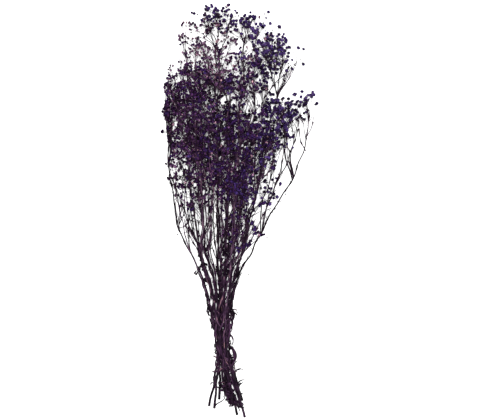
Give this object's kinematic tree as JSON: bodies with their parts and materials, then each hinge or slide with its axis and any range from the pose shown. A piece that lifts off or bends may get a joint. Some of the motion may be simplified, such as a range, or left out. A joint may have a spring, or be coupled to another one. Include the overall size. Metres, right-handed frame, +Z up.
{
  "type": "dried gypsophila bunch",
  "caption": "Lying bunch of dried, violet-dyed gypsophila: branching stems with small papery florets, shrivelled leaves and an elastic band round the waist.",
  "frame": {"origin": "middle of the bunch's outline seen from above, on the surface that it lies on", "axes": "+Y along the bunch from the cut ends to the crown, +Z up from the surface, +X to the right seen from above with the crown away from the viewer"},
  "size_m": [0.2454, 0.6446, 0.1152],
  "materials": {
    "dyed_stem": "matt, dyed dried stem",
    "dyed_floret": "matt, dyed papery petals",
    "dried_leaf": "matt, shrivelled dyed leaf",
    "elastic_rubber": "dull rubber"
  },
  "bodies": {
    "root": {"spray_crown_left": "dyed_stem", "spray_crown_right": "dyed_stem", "spray_upper_right": "dyed_stem", "spray_upper_left": "dyed_stem", "spray_left_outer": "dyed_stem", "spray_left_shoulder": "dyed_stem", "spray_centre": "dyed_stem", "spray_right_arm": "dyed_stem", "spray_right_low": "dyed_stem", "spray_front": "dyed_stem", "spray_lower_left": "dyed_stem", "spray_underside": "dyed_stem", "elastic_band": "elastic_rubber"}
  },
  "joints": []
}
